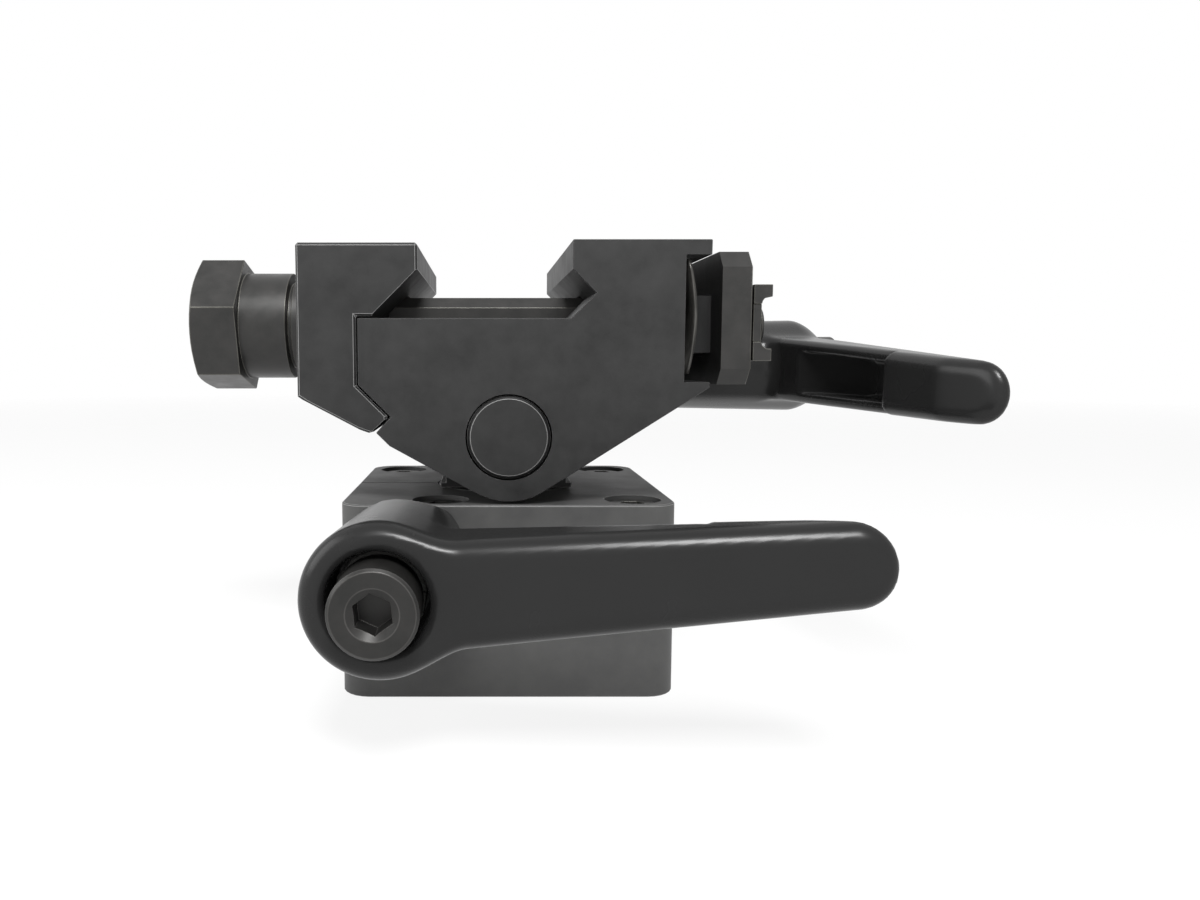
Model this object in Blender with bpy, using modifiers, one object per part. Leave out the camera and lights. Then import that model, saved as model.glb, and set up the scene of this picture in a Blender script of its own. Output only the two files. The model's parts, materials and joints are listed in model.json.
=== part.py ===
"""Tripod head for a rail-mounted load: a square base that is fixed to the tripod, a post that pans in it,
and an accessory-rail clamp that tilts on the post, with one ratchet lever for each lock.

Metres, +Z up. The origin is on the pan axis at the underside of the base. -Y is the front, +X the right.
"""

import math

import bmesh
import bpy
from mathutils import Matrix, Vector

mm = 0.001

# Running gap between pieces that touch, how deep joined shapes go into each other, and how round things are
gap = 0.3 * mm
holeGap = 0.21 * mm
joinOverlap = 0.05 * mm
roundSides = 40
smallSides = 24
arcSteps = 6

# Base
baseWidth = 35.5 * mm
baseHeight = 20.5 * mm
baseCornerRadius = 3.0 * mm
baseTopChamfer = 0.5 * mm
plateThickness = 2.2 * mm
plateWidth = 32.8 * mm
plateCornerRadius = 2.0 * mm
plateBossRadius = 8.6 * mm
plateBossTop = 7.2 * mm
bushRadius = 6.2 * mm
threadMinorRadius = 4.05 * mm
threadMajorRadius = 4.76 * mm
threadPitch = 1.5875 * mm
threadFlankShare = 0.4
threadCrestShare = 0.2
baseSplitWidth = 0.5 * mm

# Screws down through the corners of the base
screwInset = 4.2 * mm
screwFrontLeftX = -7.3 * mm
screwShankRadius = 1.5 * mm
screwHeadRadius = 2.7 * mm
screwHeadHeight = 2.6 * mm
screwEdge = 0.3 * mm
screwSeatGap = 0.45 * mm
screwSeatDepth = 3.3 * mm
screwKeyAcross = 2.5 * mm
screwKeyDepth = 1.4 * mm

# Pan post, its washers and screw
spigotRadius = 8.0 * mm
spigotShoulderZ = 11.0 * mm
thrustRingThickness = 0.8 * mm
thrustRingRadius = 11.0 * mm
washerThickness = 1.7 * mm
washerRadius = 10.8 * mm
postScrewRadius = 2.4 * mm
postScrewHeadRadius = 4.4 * mm
postScrewLength = 7.5 * mm
postScrewKeyAcross = 3.0 * mm
postScrewKeyDepth = 1.8 * mm
lugHalfWidth = 7.0 * mm
lugHalfLength = 5.7 * mm
lugFootHalfWidth = 7.6 * mm
lugFootHeight = 0.5 * mm
lugSlotLedge = 1.4 * mm

# Tilt axis and shaft
tiltZ = baseHeight + 7.1 * mm
shaftRadius = 4.3 * mm
shaftEndChamfer = 0.3 * mm
shaftPinRadius = 1.2 * mm
hubArcRadius = 6.7 * mm
leftSlopeAngle = math.radians(28.8)
rightSlopeAngle = math.radians(32.4)

# Rail clamp, seen from the front
clampFrontY = -17.15 * mm
clampLength = 39.75 * mm
lowerBodyBackY = -clampFrontY
lowerBodyTopZ = tiltZ - 3.6 * mm
bedZ = tiltZ + 12.3 * mm
notchTipX = 6.6 * mm
notchTipZ = bedZ + 5.1 * mm
notchDepth = 2.46 * mm
fixedJawTopZ = notchTipZ + 2.9 * mm
bodyRightX = 20.75 * mm
bodyLeftX = -15.6 * mm
pocketFloorX = bodyRightX - 2.65 * mm
pocketHalfHeight = 6.6 * mm
pocketBackY = 7.6 * mm
heelCornerX = bodyLeftX + 3.35 * mm
heelCornerZ = tiltZ + 2.15 * mm
heelTipX = heelCornerX - 1.5 * mm
heelTipZ = tiltZ + 0.5 * mm
heelFootX = heelTipX + 1.35 * mm
edgeChamfer = 0.35 * mm

# Moving jaw
jawTopZ = notchTipZ + 2.6 * mm
jawLeftX = -21.9 * mm
jawTipX = -9.5 * mm
jawLedgeClearance = 0.35 * mm
jawLowerLeftZ = tiltZ + 4.3 * mm
jawToeZ = tiltZ + 0.55 * mm
jawToeX = heelTipX - 0.85 * mm
jawCornerRun = 0.45 * mm
jawCornerDrop = 0.3 * mm
jawToeRun = 0.9 * mm
jawToeRise = 0.32 * mm
jawToeFlat = 0.5 * mm
jawToeLift = 0.15 * mm
jawHeelGap = 0.5 * mm

# Cross-bolt, which is also the recoil bar across the bed
boltY = -3.0 * mm
boltZ = bedZ - 0.3 * mm
boltHalfWidth = 2.55 * mm
boltHalfHeight = 3.2 * mm
boltTopChamfer = 1.2 * mm
boltThreadRadius = 2.5 * mm
boltShoulderX = bodyLeftX + 2.1 * mm
boltNeckRadius = 2.35 * mm
boltGrooveRadius = 1.8 * mm
boltHeadRadius = 2.4 * mm
boltHeadHeight = 0.35 * mm
boltHeadDome = 0.25 * mm

# Nut on the cross-bolt
nutAcrossFlats = 13.5 * mm
nutHexLength = 5.3 * mm
nutShoulderX = jawLeftX - 2.9 * mm
nutHexRightX = nutShoulderX - 5.3 * mm
nutLeftX = nutHexRightX - nutHexLength
boltThreadEndX = nutLeftX + 0.4 * mm
nutShoulderRadius = 6.1 * mm
nutNeckRadius = 5.45 * mm
nutNeckDepth = 2.0 * mm
nutGrooveRadius = 4.9 * mm
nutGrooveWidth = 0.45 * mm
nutHexTurn = math.radians(13.5)
nutCornerRound = 0.7 * mm

# Leaf spring, pressure plate and keeper at the right
springThickness = 0.32 * mm
springFootX = pocketFloorX + gap + springThickness / 2
springRise = 0.8 * mm
springHalfHeight = 5.9 * mm
springFrontY = -16.6 * mm
springBackY = 7.2 * mm
springHoleRadius = 4.6 * mm
springSteps = 10
pressPlateX = bodyRightX + 1.95 * mm
pressPlateThickness = 3.1 * mm
pressPlateZ = bedZ + 0.2 * mm
pressPlateHalfHeight = 7.05 * mm
pressPlateFrontY = -14.2 * mm
pressPlateBackY = 6.9 * mm
pressPlateChamfer = 1.7 * mm
springPadHalfLength = 6.4 * mm
springPadHalfHeight = 3.1 * mm
keeperWidth = 2.0 * mm
keeperWebInset = 0.75 * mm
keeperWebThickness = 0.5 * mm
keeperHalfHeight = 4.05 * mm
keeperRibThickness = 1.15 * mm
keeperFillet = 0.6 * mm
keeperFrontInset = 0.2 * mm
keeperBackInset = 0.6 * mm

# Guide pins and springs that push the jaw open
pinSpacing = 9.5 * mm
pinZ = bedZ - 3.4 * mm
pinRadius = 1.25 * mm
pinInBody = 11.0 * mm
pinInJaw = 4.6 * mm
jawSpringRadius = 2.15 * mm
jawSpringWire = 0.25 * mm
jawSpringTurns = 6
jawSpringLength = 7.2 * mm

# Ratchet lever, in its own frame: the hub along +Z from the seat, the arm along +X
leverSeatGap = 0.3 * mm
hubRootRadius = 6.05 * mm
hubTopRadius = 6.95 * mm
hubHeight = 19.2 * mm
hubRimRound = 1.6 * mm
hubSkirtZ = 0.4 * mm
recessRadius = 4.8 * mm
shelfTopZ = 12.0 * mm
shelfBottomZ = 10.4 * mm
socketRadius = 4.75 * mm
toothTopRadius = 4.25 * mm
toothRootRadius = 3.6 * mm
toothCount = 14
toothLength = 3.0 * mm
toothTopShare = 0.3
toothFlankShare = 0.2
coreEdge = 0.4 * mm
insertHeight = 10.0 * mm
leverLength = 42.0 * mm
armTipHalfWidth = 2.8 * mm
armRootHalfWidth = 4.45 * mm
armFlare = 2.3 * mm
armFlareLength = 11.0 * mm
armDraft = 0.25 * mm
armUnderZ = 10.8 * mm
armTopRise = 0.12
armUnderRise = 0.27
armEdgeRound = 1.0 * mm
armRecessStart = 7.9 * mm
armRecessRamp = 5.0 * mm
armRecessEnd = 27.3 * mm
armTipStart = 34.4 * mm
armTipDrop = 1.2 * mm
armTipSlope = math.radians(27)
armRecessWall = 1.3 * mm
armRecessRoof = 1.8 * mm
leverScrewRadius = 2.4 * mm
leverScrewHeadRadius = 3.78 * mm
leverScrewHeadTop = 22.4 * mm
leverScrewHeadHeight = 5.6 * mm
leverScrewKeyAcross = 3.2 * mm
leverScrewKeyDepth = 2.6 * mm
leverScrewEdge = 0.22 * mm
leverScrewSinkRadius = 2.25 * mm
leverScrewSinkAngle = math.radians(60)
leverScrewDepth = 7.0 * mm
leverSpringRadius = 3.85 * mm
leverSpringWire = 0.3 * mm
leverSpringTurns = 4
studRadius = 2.0 * mm

# Where the two levers sit
panLeverX = -11.65 * mm
panLeverZ = baseHeight - 5.3 * mm
panLeverArmAngle = math.radians(6.2)
panStudReach = 27.0 * mm
tiltLeverY = 13.5 * mm
tiltLeverZ = tiltZ + 7.2 * mm
tiltLeverArmAngle = math.radians(2.9)
tiltBossRadius = 6.3 * mm
tiltBossHeight = 1.05 * mm
tiltStudReach = 31.0 * mm
tiltSlitWidth = 1.2 * mm
tiltSlitFrontY = 9.0 * mm

# How far a cutter passes the face that it cuts through
over = 1.0 * mm

for old in list(bpy.data.objects):
    bpy.data.objects.remove(old, do_unlink=True)

partCollection = bpy.data.collections.new("tripod_head")
bpy.context.scene.collection.children.link(partCollection)
cutterCollection = bpy.data.collections.new("cutters")
cutterCollection.hide_render = True
bpy.context.scene.collection.children.link(cutterCollection)


def makeMaterial(name, hexColour, roughness, metallic):
    """A plain Principled material; the colour is given as it looks on screen."""
    channels = [int(hexColour[i : i + 2], 16) / 255 for i in (0, 2, 4)]
    linear = [c / 12.92 if c <= 0.04045 else ((c + 0.055) / 1.055) ** 2.4 for c in channels]
    material = bpy.data.materials.new(name)
    material.use_nodes = True
    shader = material.node_tree.nodes["Principled BSDF"]
    shader.inputs["Base Color"].default_value = (*linear, 1.0)
    shader.inputs["Roughness"].default_value = roughness
    shader.inputs["Metallic"].default_value = metallic
    return material


def addEmpty(name, location, parent=None, axes=None):
    """An empty on a joint's axis; axes are the three columns of its own directions."""
    empty = bpy.data.objects.new(name, None)
    empty.empty_display_size = 5 * mm
    partCollection.objects.link(empty)
    world = Matrix.Translation(location)
    if axes:
        world = world @ Matrix([list(column) for column in axes]).transposed().to_4x4()
    if parent:
        empty.parent = parent
        empty.matrix_parent_inverse = parent.matrix_world.inverted()
    empty.matrix_world = world
    bpy.context.view_layer.update()
    return empty


def finish(obj, material, parent=None, inParentFrame=False):
    """Gives a piece its material, parent and collection, shaded smooth up to sharp edges."""
    for collection in list(obj.users_collection):
        collection.objects.unlink(obj)
    partCollection.objects.link(obj)
    obj.data.materials.clear()
    obj.data.materials.append(material)
    for polygon in obj.data.polygons:
        polygon.use_smooth = True
    obj.data.set_sharp_from_angle(angle=math.radians(35))
    if parent:
        obj.parent = parent
        if not inParentFrame:
            obj.matrix_parent_inverse = parent.matrix_world.inverted()
    return obj


def newObject(name, mesh):
    obj = bpy.data.objects.new(name, mesh)
    bpy.context.scene.collection.objects.link(obj)
    return obj


def meshFrom(name, build):
    """A mesh object from a function that fills a bmesh."""
    bm = bmesh.new()
    build(bm)
    bmesh.ops.recalc_face_normals(bm, faces=bm.faces)
    mesh = bpy.data.meshes.new(name)
    bm.to_mesh(mesh)
    bm.free()
    return newObject(name, mesh)


def box(name, low, high):
    """A box between two corners."""
    low, high = Vector(low), Vector(high)

    def build(bm):
        bmesh.ops.create_cube(bm, size=1.0)
        bmesh.ops.scale(bm, vec=high - low, verts=bm.verts)
        bmesh.ops.translate(bm, vec=(high + low) / 2, verts=bm.verts)

    return meshFrom(name, build)


def turnTo(axis):
    """The rotation that carries +Z on to an axis."""
    return Vector((0, 0, 1)).rotation_difference(Vector(axis)).to_matrix()


def rod(name, start, end, radius, sides=roundSides, endRadius=None):
    """A cylinder or cone from one point to another."""
    start, end = Vector(start), Vector(end)

    def build(bm):
        bmesh.ops.create_cone(
            bm,
            cap_ends=True,
            segments=sides,
            radius1=radius,
            radius2=radius if endRadius is None else endRadius,
            depth=(end - start).length,
        )
        bmesh.ops.rotate(bm, matrix=turnTo(end - start), verts=bm.verts)
        bmesh.ops.translate(bm, vec=(start + end) / 2, verts=bm.verts)

    return meshFrom(name, build)


def turned(name, profile, steps=roundSides, closedLoop=False):
    """A turned piece about its own Z: the profile runs down its outer side, as (radius, height)."""

    def build(bm):
        points = [bm.verts.new((radius, 0, height)) for radius, height in profile]
        for first, second in zip(points, points[1:]):
            bm.edges.new((first, second))
        if closedLoop:
            bm.edges.new((points[-1], points[0]))

    obj = meshFrom(name, build)
    screw = obj.modifiers.new("turn", "SCREW")
    screw.steps = steps
    screw.render_steps = steps
    screw.use_merge_vertices = True
    screw.merge_threshold = 0.00001
    screw.use_smooth_shade = True
    return bakeModifiers(obj)


def bakeModifiers(obj):
    """The same object with its modifiers made part of its mesh."""
    graph = bpy.context.evaluated_depsgraph_get()
    mesh = bpy.data.meshes.new_from_object(obj.evaluated_get(graph))
    bm = bmesh.new()
    bm.from_mesh(mesh)
    bmesh.ops.remove_doubles(bm, verts=bm.verts, dist=0.000001)
    bm.to_mesh(mesh)
    bm.free()
    obj.modifiers.clear()
    obj.data = mesh
    return obj


def extruded(name, outline, start, end, plane="XZ"):
    """A flat outline drawn as a filled 2D curve and given its thickness along the third axis."""
    curve = bpy.data.curves.new(name, "CURVE")
    curve.dimensions = "2D"
    curve.fill_mode = "BOTH"
    curve.extrude = abs(end - start) / 2
    spline = curve.splines.new("POLY")
    spline.points.add(len(outline) - 1)
    for point, (u, v) in zip(spline.points, outline):
        point.co = (u, v, 0, 1)
    spline.use_cyclic_u = True
    drawn = newObject(name + "_outline", curve)
    middle = (start + end) / 2
    turns = {
        "XY": Matrix.Translation((0, 0, middle)),
        "XZ": Matrix.Translation((0, middle, 0)) @ Matrix.Rotation(math.pi / 2, 4, "X"),
        "YZ": Matrix.Translation((middle, 0, 0)) @ Matrix(((0, 0, 1), (1, 0, 0), (0, 1, 0))).to_4x4(),
    }
    graph = bpy.context.evaluated_depsgraph_get()
    mesh = bpy.data.meshes.new_from_object(drawn.evaluated_get(graph))
    mesh.transform(turns[plane])
    bpy.data.objects.remove(drawn, do_unlink=True)
    bm = bmesh.new()
    bm.from_mesh(mesh)
    bmesh.ops.remove_doubles(bm, verts=bm.verts, dist=0.000001)
    bmesh.ops.recalc_face_normals(bm, faces=bm.faces)
    bm.to_mesh(mesh)
    bm.free()
    return newObject(name, mesh)


def arc(centre, radius, startAngle, endAngle, steps=arcSteps):
    """Points along an arc, both ends included."""
    return [
        (
            centre[0] + radius * math.cos(startAngle + (endAngle - startAngle) * i / steps),
            centre[1] + radius * math.sin(startAngle + (endAngle - startAngle) * i / steps),
        )
        for i in range(steps + 1)
    ]


def roundedRectangle(lowU, lowV, highU, highV, radius):
    """Outline of a rectangle with round corners."""
    corners = [
        ((highU - radius, lowV + radius), -math.pi / 2),
        ((highU - radius, highV - radius), 0),
        ((lowU + radius, highV - radius), math.pi / 2),
        ((lowU + radius, lowV + radius), math.pi),
    ]
    points = []
    for centre, start in corners:
        points += arc(centre, radius, start, start + math.pi / 2)
    return points


def boolean(obj, other, operation):
    modifier = obj.modifiers.new(operation.lower(), "BOOLEAN")
    modifier.operation = operation
    modifier.solver = "EXACT"
    modifier.object = other
    for collection in list(other.users_collection):
        collection.objects.unlink(other)
    cutterCollection.objects.link(other)
    other.hide_render = True
    other.display_type = "WIRE"
    return obj


def cut(obj, *cutters):
    for cutter in cutters:
        boolean(obj, cutter, "DIFFERENCE")
    return obj


def join(obj, *others):
    for other in others:
        boolean(obj, other, "UNION")
    return obj


def bevel(obj, width, segments=1, angle=50):
    """Breaks the edges sharper than an angle and makes the result part of the mesh."""
    modifier = obj.modifiers.new("bevel", "BEVEL")
    modifier.width = width
    modifier.segments = segments
    modifier.limit_method = "ANGLE"
    modifier.angle_limit = math.radians(angle)
    modifier.use_clamp_overlap = True
    return bakeModifiers(obj)


def coil(name, radius, wire, turns, bottom, top, pointsPerTurn=10):
    """A compression spring about Z as one tube, with its ends laid flat against the seats."""
    curve = bpy.data.curves.new(name, "CURVE")
    curve.dimensions = "3D"
    curve.bevel_depth = wire
    curve.bevel_resolution = 1
    curve.use_fill_caps = True
    count = turns * pointsPerTurn + 1
    spline = curve.splines.new("POLY")
    spline.points.add(count - 1)
    low, high = bottom + wire * 1.1, top - wire * 1.1
    places = []
    for i, point in enumerate(spline.points):
        share = i / (count - 1)
        angle = 2 * math.pi * turns * share
        height = low + (high - low) * share
        place = Vector((radius * math.cos(angle), radius * math.sin(angle), height))
        places.append(place)
        point.co = (*place, 1)
    nearest = min(
        (places[i] - places[j]).length
        for i in range(count)
        for j in range(i + pointsPerTurn // 2, count)
    )
    print(f"{name}: least gap to itself {(nearest - 2 * wire) / mm:.2f} mm")
    drawn = newObject(name + "_wire", curve)
    graph = bpy.context.evaluated_depsgraph_get()
    mesh = bpy.data.meshes.new_from_object(drawn.evaluated_get(graph))
    bpy.data.objects.remove(drawn, do_unlink=True)
    bm = bmesh.new()
    bm.from_mesh(mesh)
    bmesh.ops.remove_doubles(bm, verts=bm.verts, dist=0.000001)
    bmesh.ops.recalc_face_normals(bm, faces=bm.faces)
    bm.to_mesh(mesh)
    bm.free()
    return newObject(name, mesh)


def hexagon(across, turn=0.0):
    radius = across / math.sqrt(3)
    return [
        (radius * math.cos(turn + math.pi / 3 * i), radius * math.sin(turn + math.pi / 3 * i))
        for i in range(6)
    ]


blackAnodised = makeMaterial("black_anodised_aluminium", "3f3f41", 0.5, 0.6)
blackZinc = makeMaterial("black_coated_zinc_casting", "3a3a3d", 0.38, 0.3)
blackSteel = makeMaterial("black_oxide_steel", "4a4946", 0.42, 0.8)
springSteel = makeMaterial("spring_steel", "77767a", 0.35, 1.0)
nylon = makeMaterial("nylon", "d8d4c8", 0.5, 0.0)

clampBackY = clampFrontY + clampLength
baseHalf = baseWidth / 2
panAxis = addEmpty("pan_axis", (0, 0, baseHeight))
tiltAxis = addEmpty("tilt_axis", (0, 0, tiltZ), panAxis)


# Base
def screwPlaces():
    """The four corner screws; the front left one stands clear of the pan lever's stud."""
    edge = baseHalf - screwInset
    return [(edge, -edge), (edge, edge), (-edge, edge), (screwFrontLeftX, -edge)]


def plateOutline(extra=0.0):
    """The bottom plate in plan, which the rebate in the housing follows."""
    half = plateWidth / 2 + extra
    return roundedRectangle(-half, -half, half, half, plateCornerRadius + extra)


def makeBaseHousing():
    outline = roundedRectangle(-baseHalf, -baseHalf, baseHalf, baseHalf, baseCornerRadius)
    housing = extruded("base_housing", outline, 0, baseHeight, "XY")
    bevel(housing, baseTopChamfer, 1, 60)
    cut(
        housing,
        extruded("cut_plate_rebate", plateOutline(gap), -over, plateThickness + gap, "XY"),
        rod("cut_pan_bore", (0, 0, -over), (0, 0, baseHeight + over), spigotRadius + gap),
        rod("cut_base_cavity", (0, 0, -over), (0, 0, spigotShoulderZ), thrustRingRadius + gap),
        box(
            "cut_base_split",
            (-baseHalf - over, -baseSplitWidth / 2, -over),
            (-spigotRadius, baseSplitWidth / 2, baseHeight + over),
        ),
        rod(
            "cut_pan_stud",
            (panLeverX, -baseHalf - over, panLeverZ),
            (panLeverX, -baseHalf + panStudReach + gap, panLeverZ),
            studRadius + holeGap,
            smallSides,
        ),
    )
    for number, (x, y) in enumerate(screwPlaces(), 1):
        top = baseHeight + over
        cut(
            housing,
            rod(
                f"cut_screw_seat_{number}",
                (x, y, baseHeight - screwSeatDepth),
                (x, y, top),
                screwHeadRadius + screwSeatGap,
                smallSides,
            ),
            rod(f"cut_screw_hole_{number}", (x, y, -over), (x, y, top), screwShankRadius + gap, smallSides),
        )
    return finish(housing, blackAnodised)


def makeBottomPlate():
    plate = extruded("base_bottom_plate", plateOutline(), 0, plateThickness, "XY")
    join(plate, rod("join_plate_boss", (0, 0, plateThickness / 2), (0, 0, plateBossTop), plateBossRadius))
    cut(plate, rod("cut_bush_seat", (0, 0, -over), (0, 0, plateBossTop + over), bushRadius + gap))
    for number, (x, y) in enumerate(screwPlaces(), 1):
        hole = rod(
            f"cut_plate_hole_{number}",
            (x, y, -over),
            (x, y, plateThickness + over),
            screwShankRadius + gap,
            smallSides,
        )
        cut(plate, hole)
    return finish(plate, blackAnodised)


def makeThreadBush():
    """The tripod socket: its thread is turned as ridges at the real pitch."""
    turns = int(plateBossTop / threadPitch)
    start = (plateBossTop - turns * threadPitch) / 2
    inner = [(threadMajorRadius, 0)]
    for i in range(turns):
        z = start + i * threadPitch
        inner += [
            (threadMajorRadius, z),
            (threadMinorRadius, z + threadPitch * threadFlankShare),
            (threadMinorRadius, z + threadPitch * (threadFlankShare + threadCrestShare)),
        ]
    inner += [(threadMajorRadius, start + turns * threadPitch), (threadMajorRadius, plateBossTop)]
    profile = [(bushRadius, plateBossTop), (bushRadius, 0)] + inner
    return finish(turned("tripod_thread_bush", profile, roundSides, True), blackSteel)


def makeCapScrew(name, x, y):
    head = baseHeight - screwSeatDepth + gap + screwHeadHeight
    seat = head - screwHeadHeight
    profile = [
        (0, head),
        (screwHeadRadius - screwEdge, head),
        (screwHeadRadius, head - screwEdge),
        (screwHeadRadius, seat),
        (screwShankRadius, seat),
        (screwShankRadius, gap),
        (0, gap),
    ]
    screw = turned(name, profile, smallSides)
    key = extruded(name + "_key", hexagon(screwKeyAcross), head - screwKeyDepth, head + over, "XY")
    key.location = (x, y, 0)
    screw.location = (x, y, 0)
    return finish(cut(screw, key), blackSteel)


makeBaseHousing()
makeBottomPlate()
makeThreadBush()
for screwNumber, (screwX, screwY) in enumerate(screwPlaces(), 1):
    makeCapScrew(f"base_screw_{screwNumber}", screwX, screwY)


# Pan post with its washers, screw and the tilt shaft pinned in it
spigotBottomZ = spigotShoulderZ - gap - thrustRingThickness
washerTopZ = spigotBottomZ - gap


def makePanPost():
    footZ = baseHeight + gap
    footTopZ = footZ + lugFootHeight
    outline = [
        (-lugFootHalfWidth, footZ),
        (lugFootHalfWidth, footZ),
        (lugFootHalfWidth, footTopZ),
        (lugHalfWidth, footTopZ),
    ]
    outline += arc((0, tiltZ), lugHalfWidth, 0, math.pi, 14)
    outline += [(-lugHalfWidth, footTopZ), (-lugFootHalfWidth, footTopZ)]
    post = extruded("pan_post", outline, -lugHalfLength, lugHalfLength)
    neckRadius = lugHalfLength - joinOverlap
    join(
        post,
        rod("join_spigot", (0, 0, spigotBottomZ), (0, 0, baseHeight), spigotRadius),
        rod("join_spigot_neck", (0, 0, baseHeight - over), (0, 0, footZ + joinOverlap), neckRadius),
    )
    cut(
        post,
        rod(
            "cut_post_shaft",
            (0, -lugHalfLength - over, tiltZ),
            (0, lugHalfLength + over, tiltZ),
            shaftRadius + gap,
        ),
        rod(
            "cut_post_pin",
            (-lugHalfWidth - over, 0, tiltZ),
            (lugHalfWidth + over, 0, tiltZ),
            shaftPinRadius + gap,
            smallSides,
        ),
        rod(
            "cut_post_screw",
            (0, 0, spigotBottomZ - over),
            (0, 0, washerTopZ - washerThickness + postScrewLength + 2 * gap),
            postScrewRadius + gap,
            smallSides,
        ),
    )
    return finish(post, blackAnodised, panAxis)


def makeThrustRing():
    low = spigotBottomZ
    high = low + thrustRingThickness
    inner = spigotRadius + gap
    profile = [(thrustRingRadius, high), (thrustRingRadius, low), (inner, low), (inner, high)]
    return finish(turned("pan_thrust_ring", profile, roundSides, True), nylon, panAxis)


def makePostWasher():
    low = washerTopZ - washerThickness
    hole = postScrewRadius + gap
    mouth = postScrewHeadRadius + gap
    profile = [(washerRadius, washerTopZ), (washerRadius, low), (mouth, low), (hole, low + mouth - hole)]
    if low + mouth - hole < washerTopZ:
        profile.append((hole, washerTopZ))
    return finish(turned("pan_washer", profile, roundSides, True), blackSteel, panAxis)


def makePostScrew():
    low = washerTopZ - washerThickness
    neck = low + postScrewHeadRadius - postScrewRadius
    top = low + postScrewLength
    profile = [
        (0, top),
        (postScrewRadius, top),
        (postScrewRadius, neck),
        (postScrewHeadRadius, low),
        (0, low),
    ]
    screw = turned("pan_post_screw", profile, smallSides)
    keyOutline = hexagon(postScrewKeyAcross)
    key = extruded("pan_post_screw_key", keyOutline, low - over, low + postScrewKeyDepth, "XY")
    return finish(cut(screw, key), blackSteel, panAxis)


def makeTiltShaft():
    front, back = clampFrontY, lowerBodyBackY
    length = back - front
    rim = shaftRadius - shaftEndChamfer
    profile = [
        (0, length),
        (rim, length),
        (shaftRadius, length - shaftEndChamfer),
        (shaftRadius, shaftEndChamfer),
        (rim, 0),
        (0, 0),
    ]
    shaft = turned("tilt_shaft", profile)
    shaft.data.transform(Matrix.Translation((0, front, tiltZ)) @ Matrix.Rotation(-math.pi / 2, 4, "X"))
    hole = rod(
        "cut_shaft_pin",
        (-shaftRadius - over, 0, tiltZ),
        (shaftRadius + over, 0, tiltZ),
        shaftPinRadius + gap,
        smallSides,
    )
    return finish(cut(shaft, hole), blackSteel, panAxis)


def makeShaftPin():
    reach = lugHalfWidth - gap
    pin = rod("tilt_shaft_pin", (-reach, 0, tiltZ), (reach, 0, tiltZ), shaftPinRadius, smallSides)
    return finish(pin, springSteel, panAxis)


makePanPost()
makeThrustRing()
makePostWasher()
makePostScrew()
makeTiltShaft()
makeShaftPin()


# Rail clamp body, with the fixed jaw
def slopeTangent(angle, side):
    """Where a side slope leaves the round underside; side is -1 at the left and 1 at the right."""
    return (side * hubArcRadius * math.sin(angle), tiltZ - hubArcRadius * math.cos(angle))


def slopeHeight(x, angle, side):
    """Height of a side slope at a place across the clamp."""
    startX, startZ = slopeTangent(angle, side)
    return startZ + (x - startX) * side * math.tan(angle)


def clampOutline():
    notchApexX = notchTipX + notchDepth
    notchApexZ = notchTipZ - notchDepth
    points = [
        (bodyLeftX, bedZ),
        (bodyLeftX, heelCornerZ + heelCornerX - bodyLeftX),
        (heelCornerX, heelCornerZ),
        (heelTipX, heelTipZ),
        (heelFootX, slopeHeight(heelFootX, leftSlopeAngle, -1)),
    ]
    downwards = -math.pi / 2
    points += arc((0, tiltZ), hubArcRadius, downwards - leftSlopeAngle, downwards + rightSlopeAngle, 10)
    points += [
        (bodyRightX, slopeHeight(bodyRightX, rightSlopeAngle, 1)),
        (bodyRightX, fixedJawTopZ),
        (notchTipX, fixedJawTopZ),
        (notchTipX, notchTipZ),
        (notchApexX, notchApexZ),
        (notchApexX - (notchApexZ - bedZ), bedZ),
    ]
    return points


def postSlotOutline():
    """What the post's lug and foot sweep as the clamp tilts, seen from the front."""
    footReach = math.hypot(lugFootHalfWidth, tiltZ - baseHeight) + 2 * gap
    headReach = lugHalfWidth + 2 * gap
    ledge = tiltZ + lugSlotLedge
    bottom = baseHeight - over
    rise = math.asin((ledge - tiltZ) / headReach)
    points = [(footReach, bottom), (footReach, ledge)]
    points += arc((0, tiltZ), headReach, rise, math.pi - rise, 14)
    points += [(-footReach, ledge), (-footReach, bottom)]
    return points


def boltBarOutline(extra=0.0):
    """The cross-bolt's square part seen along its length, in Y and Z, with its top edges broken."""
    wide = boltHalfWidth + extra
    tall = boltHalfHeight + extra
    chamfer = boltTopChamfer
    return [
        (boltY - wide, boltZ - tall),
        (boltY + wide, boltZ - tall),
        (boltY + wide, boltZ + tall - chamfer),
        (boltY + wide - chamfer, boltZ + tall),
        (boltY - wide + chamfer, boltZ + tall),
        (boltY - wide, boltZ + tall - chamfer),
    ]


def guidePinPlaces():
    return [boltY - pinSpacing, boltY + pinSpacing]


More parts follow.
